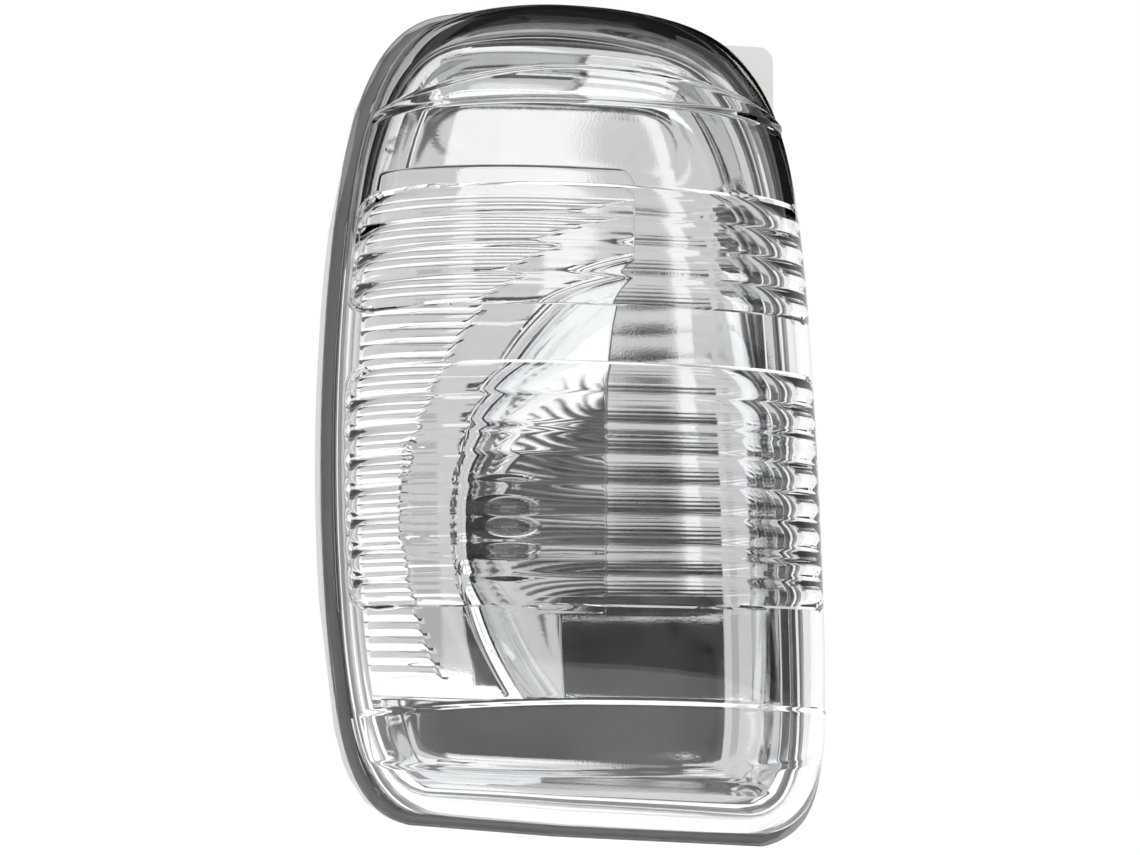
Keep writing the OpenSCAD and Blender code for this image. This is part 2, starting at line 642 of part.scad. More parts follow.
// Bulb: round glass envelope pinched into a wedge, with its wires and coiled filament
pinch_y = 7;
tip_y = pinch_y - bulb_len;
glass_t = 0.6;
wedge_y = pinch_y + wedge_len;
module bulb_glass() {
    color([0.9, 0.93, 0.95, 0.4]) from_rim() translate([bulb_x, 0, bulb_z]) union() {
        difference() {
            bulb_round(bulb_r, tip_y, pinch_y);
            bulb_round(bulb_r - glass_t, tip_y + glass_t, pinch_y - 2.5 * glass_t);
        }
        difference() {
            block([-wedge_w / 2, pinch_y - 1, -wedge_t / 2], [wedge_w / 2, wedge_y, wedge_t / 2]);
            for (side = [-1, 1])
                translate([side * lead_x, 0, 0]) post(0, 0, tip_y, wedge_y + 1, wire_r + gap / 2);
        }
    }
}
module bulb_round(r, y0, y1) {
    translate([0, y1, 0]) rotate([90, 0, 0]) rotate_extrude($fn = 64) union() {
        square([r, y1 - y0 - r]);
        intersection() {
            translate([0, y1 - y0 - r]) circle(r = r, $fn = 64);
            translate([0, y1 - y0 - r]) square([r, r]);
        }
    }
}

lead_x = 2.4;
coil_y = -3.5;
coil_r = 0.55;
wire_fold = 3.5;
module lead_wire(side) {
    color([0.7, 0.7, 0.72]) from_rim() translate([bulb_x + side * lead_x, 0, bulb_z]) union() {
        post(0, 0, coil_y - 0.4, wedge_y + 0.3, wire_r);
        block([-wire_r, wedge_y + gap, -wedge_t / 2 - fold_stand],
              [wire_r, wedge_y + gap + 2 * wire_r, wire_r]);
        block([-wire_r, wedge_y - wire_fold, -wedge_t / 2 - fold_stand],
              [wire_r, wedge_y + gap + 2 * wire_r, -wedge_t / 2 - gap]);
    }
}
module left_lead_wire() { lead_wire(-1); }
module right_lead_wire() { lead_wire(1); }

module bulb_filament() {
    end = lead_x - wire_r - gap;
    color([0.5, 0.5, 0.5]) from_rim() translate([bulb_x, coil_y, bulb_z]) rotate([0, 90, 0]) union() {
        cylinder(r = 0.15, h = 2 * end, center = true, $fn = 24);
        for (i = [-3:3]) translate([0, 0, i * 0.5]) rotate_extrude($fn = 32)
            translate([coil_r - 0.15, 0]) circle(r = 0.17, $fn = 16);
        cylinder(r = coil_r - 0.15, h = 3.1, center = true, $fn = 24);
    }
}

// Holder: neck with locking lugs, wedge slot, flange, grip wings and plug shroud
nose_y = 9.5;
slot_gap = 0.3;
flange_y = housing_d + 1.6;
holder_flange_t = 2.4;
shroud_y = flange_y + holder_flange_t;
shroud_wall = 1.5;
shroud_floor = 2.5;
holder_end = shroud_y + shroud_len;
wing_reach = 16;
wing_t = 3;
wing_h = 7;
key_w = 5;              // key on the shroud that the plug latches over
key_len = 3;
key_stand = 1.2;
contact_x = 3.2;
contact_y0 = nose_y + 1;
fold_stand = 0.6;       // how far a folded wire stands off the wedge
bump_r = 0.6;
bump_z = -wedge_t / 2 - fold_stand - gap - bump_r;
strip_z = bump_z - contact_t / 2;
module holder_body() {
    color([0.16, 0.16, 0.17]) from_rim() translate([bulb_x, 0, bulb_z]) difference() {
        union() {
            post(0, 0, nose_y, flange_y + 1, neck_r);
            post(0, 0, flange_y, shroud_y, holder_flange_r);
            for (i = [0:lock_count - 1]) rotate([0, lock_turn + i * 360 / lock_count, 0])
                block([0, housing_d - shell_wall - gap - lock_t, -lock_half_w],
                      [neck_r + lock_reach, housing_d - shell_wall - gap, lock_half_w]);
            block([-shroud_w / 2, shroud_y - 1, -shroud_h / 2], [shroud_w / 2, holder_end, shroud_h / 2]);
            for (side = [-1, 1])
                block([min(0, side * wing_reach), shroud_y - holder_flange_t, -wing_t / 2],
                      [max(0, side * wing_reach), shroud_y - holder_flange_t + wing_h, wing_t / 2]);
            block([-key_w / 2, holder_end - 8, shroud_h / 2 - shroud_wall / 2],
                  [key_w / 2, holder_end - 8 + key_len, shroud_h / 2 + key_stand]);
        }
        block([-wedge_w / 2 - slot_gap, nose_y - 1, -wedge_t / 2 - slot_gap],
              [wedge_w / 2 + slot_gap, wedge_y + 1.2, wedge_t / 2 + slot_gap]);
        block([-shroud_w / 2 + shroud_wall, shroud_y + shroud_floor, -shroud_h / 2 + shroud_wall],
              [shroud_w / 2 - shroud_wall, holder_end + 1, shroud_h / 2 - shroud_wall]);
        for (side = [-1, 1]) contact_slot(side);
    }
}
module contact_slot(side) {
    x0 = side * contact_x - strip_contact_w / 2 - gap;
    x1 = side * contact_x + strip_contact_w / 2 + gap;
    block([x0, nose_y - 1, strip_z - gap], [x1, shroud_y + shroud_floor + 1, strip_z + contact_t + gap]);
    block([x0, nose_y - 1, strip_z], [x1, wedge_y + 1.2, 0]);
}
module contact(side) {
    x0 = side * contact_x - strip_contact_w / 2;
    x1 = side * contact_x + strip_contact_w / 2;
    z0 = strip_z;
    color([0.72, 0.66, 0.5]) from_rim() translate([bulb_x, 0, bulb_z]) union() {
        block([x0, contact_y0, z0], [x1, holder_end - 3, z0 + contact_t]);
        translate([(x0 + x1) / 2, wedge_y - wire_fold / 2, bump_z]) rotate([0, 90, 0])
            cylinder(r = bump_r, h = strip_contact_w, center = true, $fn = 24);
    }
}
module left_contact() { contact(-1); }
module right_contact() { contact(1); }

// Ring of rubber between the holder's flange and the housing
module holder_seal() {
    color([0.1, 0.1, 0.1]) from_rim() difference() {
        post(bulb_x, bulb_z, housing_d + gap, flange_y - gap, holder_flange_r - 1.2);
        post(bulb_x, bulb_z, housing_d - 1, flange_y + 1, neck_r + gap);
    }
}

// Breather: membrane on the neck, under a cap with open slots
cap_wall = 1.2;
module vent_membrane() {
    y0 = housing_d + vent_h + gap;
    color([0.95, 0.95, 0.93]) from_rim() post(vent_x, vent_z, y0, y0 + 0.4, vent_r - 0.4);
}
module vent_cap() {
    top = housing_d + vent_h + 1.6;
    color([0.14, 0.14, 0.15]) from_rim() difference() {
        post(vent_x, vent_z, housing_d + 0.8, top, vent_r + gap + cap_wall);
        post(vent_x, vent_z, housing_d, housing_d + vent_h + 0.7, vent_r + gap);
        for (turn = [0, 60, 120]) translate([vent_x, 0, vent_z]) rotate([0, turn, 0])
            block([-vent_r - 3, housing_d, -0.8], [vent_r + 3, housing_d + 1.6, 0.8]);
    }
}

// Spring clip pushed over the housing's tongue
clip_t = 0.6;
leaf_len = clip_tongue_h / 2;
leaf_in = 1.5;
leaf_lean = 24;
module spring_clip() {
    y1 = housing_d + clip_tongue_h + gap + clip_t;
    y0 = housing_d + 2.5;
    z = clip_tongue_t / 2 + gap;
    x0 = clip_x - clip_tongue_w / 2 + 1;
    x1 = clip_x + clip_tongue_w / 2 - 1;
    color([0.55, 0.56, 0.58]) from_rim() translate([0, 0, clip_z]) union() {
        block([x0, y1 - clip_t, -z - clip_t], [x1, y1, z + clip_t]);
        for (side = [-1, 1]) {
            block([x0, y0, min(side * z, side * (z + clip_t))],
                  [x1, y1, max(side * z, side * (z + clip_t))]);
            translate([0, y1 - 2, side * (z + clip_t / 2)]) rotate([-side * leaf_lean, 0, 0])
                block([x0 + leaf_in, -leaf_len, -clip_t / 2], [x1 - leaf_in, 0, clip_t / 2]);
        }
    }
}

// Felt pads that keep the lamp quiet in its seat
pad_t = 2;
pad_w = 10;
pad_h = 14;
module felt_pad(x, z) {
    color([0.12, 0.12, 0.13]) from_rim()
        block([x - pad_w / 2, housing_d + gap, z - pad_h / 2],
              [x + pad_w / 2, housing_d + gap + pad_t, z + pad_h / 2]);
}
module upper_felt_pad() { felt_pad(-16, 35); }
module lower_felt_pad() { felt_pad(17, -14); }

lens();
reflector();
housing();
lens_seal();
bulb_glass();
bulb_filament();
left_lead_wire();
right_lead_wire();
holder_body();
holder_seal();
left_contact();
right_contact();
reflector_screws();
screw_washers();
fixing_inserts();
vent_cap();
vent_membrane();
spring_clip();
upper_felt_pad();
lower_felt_pad();
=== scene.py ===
# Mirror turn signal lamp: clear fluted lens over a metallised reflector, in its grey back shell.
# Sizes are in millimetres and turned into metres where a mesh is made.
import math
import bpy
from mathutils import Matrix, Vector


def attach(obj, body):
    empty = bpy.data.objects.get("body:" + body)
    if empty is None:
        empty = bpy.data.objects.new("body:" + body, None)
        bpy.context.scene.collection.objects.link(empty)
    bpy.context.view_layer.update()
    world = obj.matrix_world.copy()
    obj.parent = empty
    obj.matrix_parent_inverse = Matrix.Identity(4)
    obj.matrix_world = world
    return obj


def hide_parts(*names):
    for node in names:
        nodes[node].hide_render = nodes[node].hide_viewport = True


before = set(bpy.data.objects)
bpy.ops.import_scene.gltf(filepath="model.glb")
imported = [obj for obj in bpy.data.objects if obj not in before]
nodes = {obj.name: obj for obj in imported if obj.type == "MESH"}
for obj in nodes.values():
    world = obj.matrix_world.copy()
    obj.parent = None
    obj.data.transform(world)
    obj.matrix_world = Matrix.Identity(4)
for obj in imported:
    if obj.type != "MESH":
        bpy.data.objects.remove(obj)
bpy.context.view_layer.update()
bpy.context.scene.view_settings.view_transform = "Standard"
mm = 0.001

# outline and skin that the lens, the reflector and the housing share
lampShape = {
    "height": 136, "leftWidth": 37.2, "rightWidth": 45.2,
    "leftBow": 6.3, "bowShift": 0.07, "rightLean": 6.9, "leanShift": 0.95,
    "topArch": 1.9, "bottomLean": 2.1, "edgeReach": 0.99,
    "topLeft": 5.8, "topRight": 4.5, "bottomLeft": 8.5, "bottomRight": 10.0,
    "bulge": 28, "leftRound": 2.2, "rightRound": 2.8, "capRound": 4.0,
    "wall": 2.2, "flange": 2.0, "flangeReach": 2.0, "tongue": 3.0, "seat": 32,
}


def cornerShare(t, n):
    return (1 - (abs(t) * lampShape["edgeReach"]) ** n) ** (1 / n)


def leftEdge(t):
    n = lampShape["topLeft"] if t > 0 else lampShape["bottomLeft"]
    return -(lampShape["leftWidth"] - lampShape["leftBow"] * (t + lampShape["bowShift"]) ** 2) * cornerShare(t, n)


def rightEdge(t):
    n = lampShape["topRight"] if t > 0 else lampShape["bottomRight"]
    lean = max(t + lampShape["leanShift"], 0) / (1 + lampShape["leanShift"])
    return (lampShape["rightWidth"] - lampShape["rightLean"] * lean ** 2) * cornerShare(t, n)


def sideRound(s):
    return lampShape["leftRound"] if s < 0 else lampShape["rightRound"]


def swell(s, t):
    n, c = sideRound(s), lampShape["capRound"]
    return max(1 - abs(s) ** n, 0) ** (1 / n) * max(1 - abs(t) ** c, 0) ** (1 / c)


def rowHeight(s, t):
    half = lampShape["height"] / 2
    return t * half - lampShape["topArch"] * max(t, 0) ** 2 * s * s - lampShape["bottomLean"] * min(t, 0) ** 2 * s


def skinPoint(s, t, inset):
    x = -s * (leftEdge(t) + inset) if s < 0 else s * (rightEdge(t) - inset)
    y = -lampShape["flange"] - (lampShape["bulge"] - inset) * swell(s, t)
    return x, y, rowHeight(s, t) * (1 - 2 * inset / lampShape["height"])


def sectionOut(s, t):
    n = sideRound(s)
    wide = -leftEdge(t) if s < 0 else rightEdge(t)
    ox = math.copysign(abs(s) ** (n - 1) / wide, s)
    oy = -max(swell(s, 0), 0.0) ** (n - 1) / lampShape["bulge"]
    size = math.hypot(ox, oy) or 1
    return ox / size, oy / size


def smooth(low, high, v):
    f = min(max((v - low) / (high - low), 0), 1)
    return f * f * (3 - 2 * f)


def window(low, high, soft, v):
    return smooth(low - soft / 2, low + soft / 2, v) * (1 - smooth(high - soft / 2, high + soft / 2, v))


def ridge(place, width, v):
    return math.exp(-((v - place) / width) ** 2)


# turns a list of points in millimetres, from the lens flange's back, into metres in the frame
def place(points):
    return [(x * mm, (y - lampShape["seat"]) * mm, z * mm) for x, y, z in points]


def addMesh(name, points, faces, sharpAngle=None):
    mesh = bpy.data.meshes.new(name)
    mesh.from_pydata(place(points), [], faces)
    mesh.validate()
    mesh.shade_smooth()
    if sharpAngle:
        mesh.set_sharp_from_angle(angle=math.radians(sharpAngle))
    piece = bpy.data.objects.new(name, mesh)
    bpy.context.scene.collection.objects.link(piece)
    return piece


def gridFaces(rows, cols, start, flip):
    faces = []
    for r in range(rows - 1):
        for c in range(cols - 1):
            a = start + r * cols + c
            quad = (a, a + 1, a + cols + 1, a + cols)
            faces.append(tuple(reversed(quad)) if flip else quad)
    return faces


def gridLoop(rows, cols, start):
    return ([start + r * cols for r in range(rows)]
            + [start + (rows - 1) * cols + c for c in range(1, cols)]
            + [start + r * cols + cols - 1 for r in range(rows - 2, -1, -1)]
            + [start + c for c in range(cols - 2, 0, -1)])


def stripFaces(a, b):
    n = len(a)
    return [(a[i], a[(i + 1) % n], b[(i + 1) % n], b[i]) for i in range(n)]


def spreadLoop(loop, out, y):
    n = len(loop)
    moved = []
    for i in range(n):
        ax, _, az = loop[(i - 1) % n]
        bx, _, bz = loop[(i + 1) % n]
        size = math.hypot(bx - ax, bz - az) or 1
        ux, uz = (bx - ax) / size, (bz - az) / size
        moved.append((loop[i][0] - uz * out, y, loop[i][2] + ux * out))
    return moved


# a shell with one grid in front, another behind, and rings round its edge
def gridShell(name, front, back, rows, cols, rings, sharpAngle):
    points = front + back
    loops = [gridLoop(rows, cols, 0)]
    for ring in rings:
        loops.append(list(range(len(points), len(points) + len(ring))))
        points = points + ring
    loops.append(gridLoop(rows, cols, rows * cols))
    faces = gridFaces(rows, cols, 0, False) + gridFaces(rows, cols, rows * cols, True)
    for a, b in zip(loops, loops[1:]):
        faces += stripFaces(a, b)
    return addMesh(name, points, faces, sharpAngle)


# camera first: the photograph's low viewpoint, a little to the left
cameraShape = {
    "azimuth": -12.0, "elevation": -6.57, "distance": 400, "target": (0, -45, 0),
    "focalPixels": 2440, "frameWidth": 1140, "frameHeight": 855, "centre": (567.4, 407.9),
}


def buildCamera():
    c = cameraShape
    data = bpy.data.cameras.new("lampCamera")
    data.sensor_width = 36
    data.lens = 36 * c["focalPixels"] / c["frameWidth"]
    data.shift_x = (c["frameWidth"] / 2 - c["centre"][0]) / c["frameWidth"]
    data.shift_y = (c["centre"][1] - c["frameHeight"] / 2) / c["frameWidth"]
    data.clip_start = 0.01
    camera = bpy.data.objects.new("lampCamera", data)
    bpy.context.scene.collection.objects.link(camera)
    a, e = math.radians(c["azimuth"]), math.radians(c["elevation"])
    d = (math.sin(a) * math.cos(e), -math.cos(a) * math.cos(e), math.sin(e))
    camera.location = [(c["target"][i] + d[i] * c["distance"]) * mm for i in range(3)]
    camera.rotation_euler = (math.radians(90) - e, 0, a)
    bpy.context.scene.camera = camera
    print("camera placed")


buildCamera()


# node groups that several finishes share
def newGroup(name, inputs, outputs):
    group = bpy.data.node_groups.new(name, "ShaderNodeTree")
    for label, kind, value in inputs:
        socket = group.interface.new_socket(name=label, in_out="INPUT", socket_type=kind)
        socket.default_value = value
    for label, kind in outputs:
        group.interface.new_socket(name=label, in_out="OUTPUT", socket_type=kind)
    return group, group.nodes.new("NodeGroupInput"), group.nodes.new("NodeGroupOutput")


def buildFinishGroup():
    # fine waviness for Bump and a slow change of roughness, on Object coordinates
    group, source, result = newGroup(
        "mouldedFinish",
        [("Grain Scale", "NodeSocketFloat", 900.0), ("Wave Scale", "NodeSocketFloat", 40.0),
         ("Grain", "NodeSocketFloat", 0.5), ("Roughness Low", "NodeSocketFloat", 0.3),
         ("Roughness High", "NodeSocketFloat", 0.4), ("Colour A", "NodeSocketColor", (0.5, 0.5, 0.5, 1)),
         ("Colour B", "NodeSocketColor", (0.6, 0.6, 0.6, 1))],
        [("Colour", "NodeSocketColor"), ("Roughness", "NodeSocketFloat"), ("Height", "NodeSocketFloat")])
    add, link = group.nodes.new, group.links.new
    coords = add("ShaderNodeTexCoord")
    grain, wave = add("ShaderNodeTexNoise"), add("ShaderNodeTexNoise")
    grain.inputs["Detail"].default_value = 3
    wave.inputs["Detail"].default_value = 2
    link(coords.outputs["Object"], grain.inputs["Vector"])
    link(coords.outputs["Object"], wave.inputs["Vector"])
    link(source.outputs["Grain Scale"], grain.inputs["Scale"])
    link(source.outputs["Wave Scale"], wave.inputs["Scale"])
    rough, colour, height = add("ShaderNodeMapRange"), add("ShaderNodeMix"), add("ShaderNodeMix")
    colour.data_type = "RGBA"
    link(wave.outputs["Fac"], rough.inputs["Value"])
    link(source.outputs["Roughness Low"], rough.inputs["To Min"])
    link(source.outputs["Roughness High"], rough.inputs["To Max"])
    link(wave.outputs["Fac"], colour.inputs["Factor"])
    link(source.outputs["Colour A"], colour.inputs["A"])
    link(source.outputs["Colour B"], colour.inputs["B"])
    link(source.outputs["Grain"], height.inputs["Factor"])
    link(wave.outputs["Fac"], height.inputs["A"])
    link(grain.outputs["Fac"], height.inputs["B"])
    link(colour.outputs["Result"], result.inputs["Colour"])
    link(rough.outputs["Result"], result.inputs["Roughness"])
    link(height.outputs["Result"], result.inputs["Height"])
    return group


finishGroup = buildFinishGroup()


def newMaterial(name, plain, finish, bump):
    # plain holds the shader's own fixed values, finish the group's, bump its strength and depth
    material = bpy.data.materials.new(name)
    material.use_nodes = True
    tree = material.node_tree
    shader = tree.nodes["Principled BSDF"]
    for label, value in plain.items():
        shader.inputs[label].default_value = value
    group = tree.nodes.new("ShaderNodeGroup")
    group.node_tree = finishGroup
    for label, value in finish.items():
        group.inputs[label].default_value = value
    bumpNode = tree.nodes.new("ShaderNodeBump")
    bumpNode.inputs["Strength"].default_value = bump[0]
    bumpNode.inputs["Distance"].default_value = bump[1]
    tree.links.new(group.outputs["Colour"], shader.inputs["Base Color"])
    tree.links.new(group.outputs["Roughness"], shader.inputs["Roughness"])
    tree.links.new(group.outputs["Height"], bumpNode.inputs["Height"])
    tree.links.new(bumpNode.outputs["Normal"], shader.inputs["Normal"])
    return material


def grey(v, warm=0.0):
    return (v + warm, v, v - warm, 1)


finishes = {
    "clearLens": newMaterial(
        "clearLens", {"Transmission Weight": 1.0, "IOR": 1.44, "Metallic": 0.0},
        {"Wave Scale": 30.0, "Grain": 0.0, "Roughness Low": 0.0, "Roughness High": 0.015,
         "Colour A": (0.985, 0.99, 0.99, 1), "Colour B": (0.995, 1.0, 0.998, 1)}, (0.05, 0.0002)),
    "bulbGlass": newMaterial(
        "bulbGlass", {"Transmission Weight": 1.0, "IOR": 1.48, "Metallic": 0.0},
        {"Wave Scale": 160.0, "Grain": 0.0, "Roughness Low": 0.0, "Roughness High": 0.02,
         "Colour A": grey(0.97), "Colour B": grey(0.99)}, (0.1, 0.0003)),
    "metallised": newMaterial(
        "metallised", {"Metallic": 1.0},
        {"Wave Scale": 120.0, "Grain Scale": 2500.0, "Grain": 0.3, "Roughness Low": 0.03,
         "Roughness High": 0.08, "Colour A": (0.83, 0.84, 0.85, 1), "Colour B": (0.9, 0.905, 0.91, 1)},
        (0.06, 0.0003)),
    "greyPlastic": newMaterial(
        "greyPlastic", {"Metallic": 0.0},
        {"Wave Scale": 60.0, "Grain Scale": 1800.0, "Grain": 0.8, "Roughness Low": 0.38,
         "Roughness High": 0.5, "Colour A": (0.62, 0.63, 0.61, 1), "Colour B": (0.67, 0.68, 0.66, 1)},
        (0.25, 0.0002)),
    "sealGlue": newMaterial(
        "sealGlue", {"Metallic": 0.0},
        {"Wave Scale": 300.0, "Grain": 0.3, "Roughness Low": 0.4, "Roughness High": 0.6,
         "Colour A": grey(0.2), "Colour B": grey(0.25)}, (0.4, 0.0005)),
    "holderPlastic": newMaterial(
        "holderPlastic", {"Metallic": 0.0},
        {"Wave Scale": 90.0, "Grain Scale": 2200.0, "Grain": 0.8, "Roughness Low": 0.42,
         "Roughness High": 0.56, "Colour A": grey(0.018), "Colour B": grey(0.03)}, (0.3, 0.0002)),
    "blackRubber": newMaterial(
        "blackRubber", {"Metallic": 0.0},
        {"Wave Scale": 120.0, "Grain Scale": 1500.0, "Grain": 0.7, "Roughness Low": 0.6,
         "Roughness High": 0.78, "Colour A": grey(0.02), "Colour B": grey(0.035)}, (0.35, 0.0003)),
    "springSteel": newMaterial(
        "springSteel", {"Metallic": 1.0},
        {"Wave Scale": 220.0, "Grain Scale": 4000.0, "Grain": 0.6, "Roughness Low": 0.22,
         "Roughness High": 0.36, "Colour A": grey(0.36, -0.01), "Colour B": grey(0.46)}, (0.2, 0.0001)),
    "screwSteel": newMaterial(
        "screwSteel", {"Metallic": 1.0},
        {"Wave Scale": 260.0, "Grain Scale": 3500.0, "Grain": 0.6, "Roughness Low": 0.2,
         "Roughness High": 0.34, "Colour A": grey(0.58), "Colour B": grey(0.68, 0.01)}, (0.15, 0.0001)),
    "insertBrass": newMaterial(
        "insertBrass", {"Metallic": 1.0},
        {"Wave Scale": 240.0, "Grain Scale": 3000.0, "Grain": 0.6, "Roughness Low": 0.22,
         "Roughness High": 0.34, "Colour A": (0.66, 0.47, 0.2, 1), "Colour B": (0.76, 0.57, 0.28, 1)},
        (0.15, 0.0001)),
    "contactMetal": newMaterial(
        "contactMetal", {"Metallic": 1.0},
        {"Wave Scale": 300.0, "Grain Scale": 3600.0, "Grain": 0.5, "Roughness Low": 0.18,
         "Roughness High": 0.3, "Colour A": (0.68, 0.63, 0.52, 1), "Colour B": (0.76, 0.72, 0.62, 1)},
        (0.12, 0.0001)),
    "wireMetal": newMaterial(
        "wireMetal", {"Metallic": 1.0},
        {"Wave Scale": 500.0, "Grain Scale": 5000.0, "Grain": 0.5, "Roughness Low": 0.25,
         "Roughness High": 0.4, "Colour A": grey(0.42), "Colour B": grey(0.52, 0.01)}, (0.15, 0.0001)),
    "whiteFilm": newMaterial(
        "whiteFilm", {"Metallic": 0.0},
        {"Wave Scale": 400.0, "Grain Scale": 5000.0, "Grain": 0.6, "Roughness Low": 0.7,
         "Roughness High": 0.85, "Colour A": grey(0.78), "Colour B": grey(0.85)}, (0.3, 0.0001)),
    "feltPad": newMaterial(
        "feltPad", {"Metallic": 0.0},
        {"Wave Scale": 250.0, "Grain Scale": 2600.0, "Grain": 0.9, "Roughness Low": 0.85,
         "Roughness High": 0.95, "Colour A": grey(0.03), "Colour B": grey(0.06)}, (0.8, 0.0006)),
}
print("finishes made")

# lens
lensDetail = {
    "colsEachSide": 62, "rowStep": 0.4, "capRows": 16, "capLow": 0.9, "sharpAngle": 50,
    "flutePitch": 4.8, "fluteSag": 0.55, "upperFlutes": 4, "lowerFlutes": 8, "upperZ": 15.0, "lowerZ": 5.6,
    "blockLeft": -0.985, "blockRight": 0.988, "blockRise": 0.3, "blockSoft": 0.16, "cornerRadius": 2.6,
    "nestLeft": -0.80, "nestLow": -25.2, "nestHigh": -5.4, "nestRise": 0.35,
    "nestRight": 1.2, "nestCorner": 1.6,
    "crownLow": 47.9, "crownHigh": 53.6, "footLow": -58.9, "footHigh": -47.8,
    "bandRise": 0.5, "bandSoft": 0.7, "bandEnd": 0.97, "bandEndSoft": 0.05,
    "rimFillet": 0.35, "rimCorner": 0.2, "rimGap": 0.3,
}


def bandLine(s, centre, drop):
    return centre - drop * s * s


def bandRise(s, z):
    d = lensDetail
    crown = window(bandLine(s, d["crownLow"], 0.4), bandLine(s, d["crownHigh"], 5.5), d["bandSoft"], z)
    foot = window(bandLine(s, d["footLow"], -1.5), bandLine(s, d["footHigh"], 2.0), d["bandSoft"], z)
    return d["bandRise"] * (crown + foot) * window(-d["bandEnd"], d["bandEnd"], d["bandEndSoft"], s)


def roundedBox(x, z, left, right, low, high, radius, soft):
    # 1 inside a box with rounded corners, falling to 0 over the soft width
    cx, cz = (left + right) / 2, (low + high) / 2
    dx, dz = abs(x - cx) - (right - left) / 2 + radius, abs(z - cz) - (high - low) / 2 + radius
    gap = math.hypot(max(dx, 0), max(dz, 0)) + min(max(dx, dz), 0) - radius
    return 1 - smooth(-soft / 2, soft / 2, gap)


def fluteRise(s, z, x, leftX, rightX):
    d = lensDetail
    pitch = d["flutePitch"]
    lowBottom, upTop = d["lowerZ"] - d["lowerFlutes"] * pitch, d["upperZ"] + d["upperFlutes"] * pitch
    rise = 0.0
    for low, high in ((lowBottom, d["lowerZ"]), (d["upperZ"], upTop)):
        if low - 1 < z < high + 1:
            inside = roundedBox(x, z, leftX * -d["blockLeft"], rightX * d["blockRight"], low, high,
                                d["cornerRadius"], d["blockSoft"])
            f = (z - low) / pitch % 1.0
            rise += inside * (d["blockRise"] + d["fluteSag"] * (2 * f - 1) ** 2)
    if d["nestLow"] - 1 < z < d["nestHigh"] + 1:
        rise += d["nestRise"] * roundedBox(x, z, leftX * -d["nestLeft"], rightX * d["nestRight"], d["nestLow"],
                                           d["nestHigh"], d["cornerRadius"] * d["nestCorner"], d["blockSoft"])
    return rise


def buildLens():
    d = lensDetail
    half = lampShape["height"] / 2
    capLow = d["capLow"]
    caps = [capLow + (1 - capLow) * math.sin(math.radians(90 * i / d["capRows"])) for i in range(d["capRows"] + 1)]
    middle = int(2 * capLow * half / d["rowStep"])
    rows = ([-t for t in reversed(caps)]
            + [-capLow + 2 * capLow * i / middle for i in range(1, middle)] + caps)
    angles = [math.radians(90 * i / d["colsEachSide"]) for i in range(d["colsEachSide"] + 1)]
    cols = ([-(math.sin(a) ** (2 / lampShape["leftRound"])) for a in reversed(angles[1:])]
            + [math.sin(a) ** (2 / lampShape["rightRound"]) for a in angles])
    front, back = [], []
    for t in rows:
        for s in cols:
            ox, oy = sectionOut(s, t)
            x, y, z = skinPoint(s, t, 0)
            rise = bandRise(s, z)
            front.append((x + ox * rise, y + oy * rise, z))
            x, y, z = skinPoint(s, t, lampShape["wall"])
            rise = -fluteRise(s, z, x, leftEdge(t) + lampShape["wall"], rightEdge(t) - lampShape["wall"])
            back.append((x + ox * rise, y + oy * rise, z))
    keys = ([(cols[0], t) for t in rows] + [(s, rows[-1]) for s in cols[1:]]
            + [(cols[-1], t) for t in reversed(rows[:-1])] + [(s, rows[0]) for s in reversed(cols[1:-1])])
    outer = [skinPoint(s, t, 0) for s, t in keys]
    inner = [skinPoint(s, t, lampShape["wall"]) for s, t in keys]
    reach, flange, tongue = lampShape["flangeReach"], lampShape["flange"], lampShape["tongue"]
    fillet, corner = d["rimFillet"], d["rimCorner"]
    rings = [spreadLoop(outer, d["rimGap"], -flange), spreadLoop(outer, reach - fillet, -flange),
             spreadLoop(outer, reach, -flange + fillet), spreadLoop(outer, reach, -corner),
             spreadLoop(outer, reach - corner, 0), spreadLoop(outer, 0, 0),
             spreadLoop(outer, 0, tongue), spreadLoop(inner, 0, tongue)]
    lens = gridShell("lensShell", front, back, len(rows), len(cols), rings, d["sharpAngle"])
    lens.data.materials.append(finishes["clearLens"])
    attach(lens, "root")
    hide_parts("lens")
    print("lens made,", len(lens.data.polygons), "faces")


buildLens()

# reflector
mirrorDetail = {
    "inset": 2.8, "wall": 0.6, "ledge": 1.8, "ledgeWidth": 2.4,
    "panDepth": 9.0, "panSide": 10, "panCap": 24, "panFoot": 60,
    "blockTop": 40.0, "blockBottom": -48.0, "blockRight": 11.0, "notchZ": -33.0, "notchWidth": 8.0,
    "edgeWidth": 1.0, "blockShare": 0.5, "bowlX": 31.0, "bowlZ": -19.0, "bowlRadius": 48.0, "bowlDepth": 21.0,
    "bandWidth": 2.4, "stripWidth": 6.9, "ribPitch": 2.4, "ribHeight": 0.6, "ribTop": 35.0, "ribBottom": -45.0,
    "bandDip": 0.7, "lipRise": 0.35, "lipPlace": 0.08, "lipWidth": 0.12, "ribRun": 0.8,
    "bowlPower": 3, "bowlRound": 0.62, "bowlStop": 0.5,
    "bulbX": -8.0, "bulbZ": -18.5, "bulbHole": 6.2,
    "rowStep": 0.24, "edgeRound": 1.1, "cornerRadius": 3.0, "sharpAngle": 40,
}


def mirrorShares(x, z):
    half = lampShape["height"] / 2
    t = max(min(z / half, 1), -1)
    s = -x / (leftEdge(t) + mirrorDetail["inset"]) if x < 0 else x / (rightEdge(t) - mirrorDetail["inset"])
    return s, z / (half - mirrorDetail["inset"])


def blockEdge(z):
    d = mirrorDetail
    return d["blockRight"] - (d["notchWidth"] if z < d["notchZ"] else 0)


